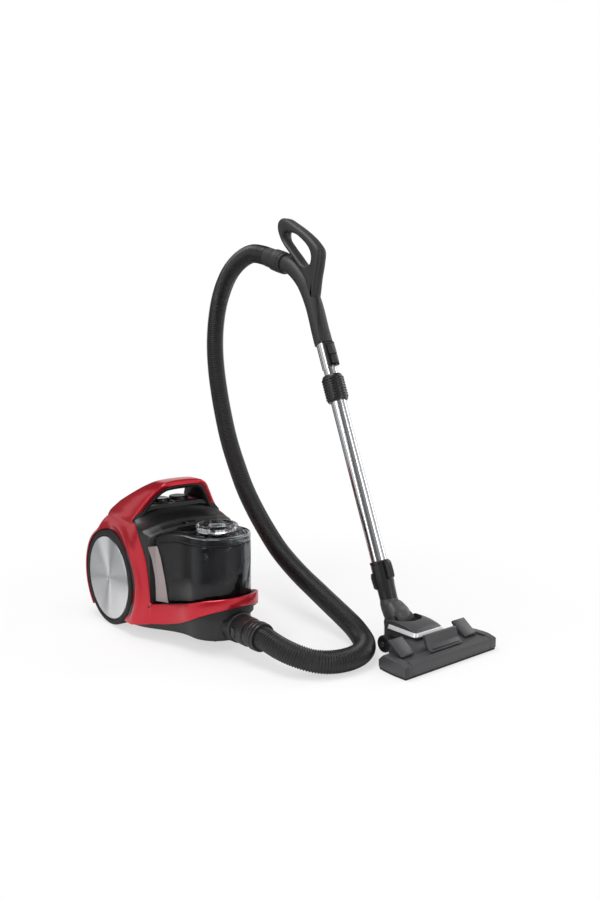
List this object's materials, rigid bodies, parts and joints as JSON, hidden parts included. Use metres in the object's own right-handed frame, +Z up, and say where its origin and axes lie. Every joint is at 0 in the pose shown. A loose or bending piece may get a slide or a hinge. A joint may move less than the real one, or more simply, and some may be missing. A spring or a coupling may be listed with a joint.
{
  "type": "canister vacuum cleaner",
  "caption": "Bagless canister vacuum cleaner with large rear wheels, clear dust bin, corrugated hose, loop grip, telescopic wand and a floor head with a foot pedal.",
  "frame": {"origin": "on the floor, under the middle of everything but the hose", "axes": "+Z up; the canister and the floor head face -Y, and the wand stands at the canister's right, at +X"},
  "size_m": [0.564, 0.8684, 0.9312],
  "materials": {
    "red_paint": "satin metallic red lacquer",
    "black_plastic": "fine-grained moulded black",
    "gloss_black": "polished black",
    "grey_plastic": "fine-grained moulded dark grey",
    "spun_aluminium": "spun, with fine turning lines",
    "chrome_plate": "bright plated",
    "steel": "plain steel",
    "rubber": "matt black rubber",
    "smoky_clear": "clear smoky plastic",
    "filter_foam": "pleated filter medium",
    "bristle": "dense black bristles"
  },
  "bodies": {
    "canister": {"base_housing": "black_plastic", "body_shell": "red_paint", "front_band": "red_paint", "bin_tray": "black_plastic", "handle_cover": "red_paint", "handle_liner": "black_plastic", "console": "black_plastic", "control_deck": "black_plastic", "exhaust_grille": "black_plastic", "exhaust_filter": "filter_foam", "cord_gland": "rubber", "motor_housing": "grey_plastic", "motor": "steel", "reel_pin": "steel", "port_collar": "black_plastic", "hose_connector": "black_plastic", "hose": "black_plastic", "grip_body": "black_plastic", "grip_inlay": "gloss_black", "inner_tube": "chrome_plate", "wand_collar": "chrome_plate"},
    "left_wheel": {"wheel_tyre_left": "rubber", "wheel_hub_left": "black_plastic", "wheel_disc_left": "spun_aluminium"},
    "right_wheel": {"wheel_tyre_right": "rubber", "wheel_hub_right": "black_plastic", "wheel_disc_right": "spun_aluminium"},
    "caster": {"caster_fork": "black_plastic"},
    "caster_roller": {"caster_wheel": "rubber"},
    "fan": {"motor_fan": "grey_plastic"},
    "reel": {"cord_reel_drum": "grey_plastic"},
    "power": {"power_button": "chrome_plate"},
    "rewind": {"rewind_button": "gloss_black"},
    "release": {"bin_release_button": "gloss_black"},
    "left_latch": {"connector_latch_left": "gloss_black"},
    "right_latch": {"connector_latch_right": "gloss_black"},
    "hose_cuff": {"lower_hose_cuff": "black_plastic"},
    "grip_cuff": {"grip_hose_cuff": "black_plastic"},
    "bin": {"bin_container": "smoky_clear", "bin_seal": "rubber", "filter_cassette": "filter_foam"},
    "lid": {"bin_lid": "smoky_clear", "cyclone_cone": "grey_plastic", "vortex_finder": "black_plastic"},
    "knob": {"bin_knob": "smoky_clear"},
    "lock": {"lock_button": "black_plastic"},
    "lower_wand": {"outer_tube": "chrome_plate", "neck_cuff": "black_plastic"},
    "sleeve": {"telescope_sleeve": "black_plastic"},
    "neck_catch": {"neck_latch": "black_plastic"},
    "elbow": {"elbow": "black_plastic"},
    "head": {"head_body": "grey_plastic", "head_cover": "grey_plastic", "chrome_trim": "chrome_plate", "sole_plate": "black_plastic"},
    "pedal": {"head_pedal": "grey_plastic"},
    "brushes": {"brush_frame": "bristle"},
    "left_roller": {"head_wheel_left": "rubber"},
    "right_roller": {"head_wheel_right": "rubber"}
  },
  "joints": [
    {"name": "left_wheel_spin", "type": "hinge", "parent": "canister", "child": "left_wheel", "pos_m": [-0.262, 0.27225, 0.109], "axis": [1, 0, 0], "continuous": true},
    {"name": "right_wheel_spin", "type": "hinge", "parent": "canister", "child": "right_wheel", "pos_m": [-0.04, 0.27225, 0.109], "axis": [1, 0, 0], "continuous": true},
    {"name": "caster_swivel", "type": "hinge", "parent": "canister", "child": "caster", "pos_m": [-0.151, 0.01225, 0.04], "axis": [0, 0, 1], "continuous": true},
    {"name": "caster_spin", "type": "hinge", "parent": "caster", "child": "caster_roller", "pos_m": [-0.151, 0.02225, 0.015], "axis": [1, 0, 0], "continuous": true},
    {"name": "fan_spin", "type": "hinge", "parent": "canister", "child": "fan", "pos_m": [-0.112, 0.22525, 0.108], "axis": [0, -1, 0], "continuous": true},
    {"name": "reel_spin", "type": "hinge", "parent": "canister", "child": "reel", "pos_m": [-0.214, 0.31425, 0.096], "axis": [1, 0, 0], "continuous": true},
    {"name": "power_press", "type": "slide", "parent": "canister", "child": "power", "axis": [0, 0, -1], "range_m": [0, 0.004], "stiffness_N_per_m": 500},
    {"name": "rewind_press", "type": "slide", "parent": "canister", "child": "rewind", "axis": [0, 0, -1], "range_m": [0, 0.004], "stiffness_N_per_m": 500},
    {"name": "release_press", "type": "slide", "parent": "canister", "child": "release", "axis": [0, 0, -1], "range_m": [0, 0.0025], "stiffness_N_per_m": 500},
    {"name": "left_latch_press", "type": "slide", "parent": "canister", "child": "left_latch", "axis": [1, 0, 0], "range_m": [0, 0.002], "stiffness_N_per_m": 500},
    {"name": "right_latch_press", "type": "slide", "parent": "canister", "child": "right_latch", "axis": [-1, 0, 0], "range_m": [0, 0.002], "stiffness_N_per_m": 500},
    {"name": "hose_cuff_swivel", "type": "hinge", "parent": "canister", "child": "hose_cuff", "pos_m": [-0.151, -0.12775, 0.0545], "axis": [0, 1, 0], "continuous": true},
    {"name": "grip_cuff_swivel", "type": "hinge", "parent": "canister", "child": "grip_cuff", "pos_m": [0.145, 0.15425, 0.8262], "axis": [0, 0.9582, 0.2862], "continuous": true},
    {"name": "bin_lift", "type": "slide", "parent": "canister", "child": "bin", "axis": [0, 0, 1], "range_m": [0, 0.12]},
    {"name": "lid_lift", "type": "slide", "parent": "bin", "child": "lid", "axis": [0, 0, 1], "range_m": [0, 0.15]},
    {"name": "knob_turn", "type": "hinge", "parent": "lid", "child": "knob", "pos_m": [-0.151, 0.01425, 0.24], "axis": [0, 0, 1], "range_deg": [0, 40]},
    {"name": "lock_press", "type": "slide", "parent": "canister", "child": "lock", "axis": [0, 0.9272, -0.3746], "range_m": [0, 0.0025], "stiffness_N_per_m": 500},
    {"name": "wand_extend", "type": "slide", "parent": "canister", "child": "lower_wand", "axis": [0, -0.3746, -0.9272], "range_m": [0, 0.28]},
    {"name": "sleeve_pull", "type": "slide", "parent": "lower_wand", "child": "sleeve", "axis": [0, -0.3746, -0.9272], "range_m": [0, 0.006], "stiffness_N_per_m": 600},
    {"name": "neck_catch_press", "type": "slide", "parent": "lower_wand", "child": "neck_catch", "axis": [0, 0.9272, -0.3746], "range_m": [0, 0.002], "stiffness_N_per_m": 500},
    {"name": "elbow_twist", "type": "hinge", "parent": "lower_wand", "child": "elbow", "pos_m": [0.145, -0.20475, 0.092], "axis": [0, 0.3746, 0.9272], "range_deg": [-4, 60]},
    {"name": "head_tilt", "type": "hinge", "parent": "elbow", "child": "head", "pos_m": [0.145, -0.23975, 0.046], "axis": [1, 0, 0], "range_deg": [-20, 38]},
    {"name": "pedal_rock", "type": "hinge", "parent": "head", "child": "pedal", "pos_m": [0.145, -0.34575, 0.04], "axis": [-1, 0, 0], "range_deg": [0, 12]},
    {"name": "brush_drop", "type": "slide", "parent": "head", "child": "brushes", "axis": [0, 0, -1], "range_m": [0, 0.005]},
    {"name": "left_roller_spin", "type": "hinge", "parent": "head", "child": "left_roller", "pos_m": [0.087, -0.25375, 0.018], "axis": [1, 0, 0], "continuous": true},
    {"name": "right_roller_spin", "type": "hinge", "parent": "head", "child": "right_roller", "pos_m": [0.203, -0.25375, 0.018], "axis": [1, 0, 0], "continuous": true}
  ],
  "couplings": [
    {"joint": "brush_drop", "follows": "pedal_rock", "m_per_rad": 0.02387}
  ]
}
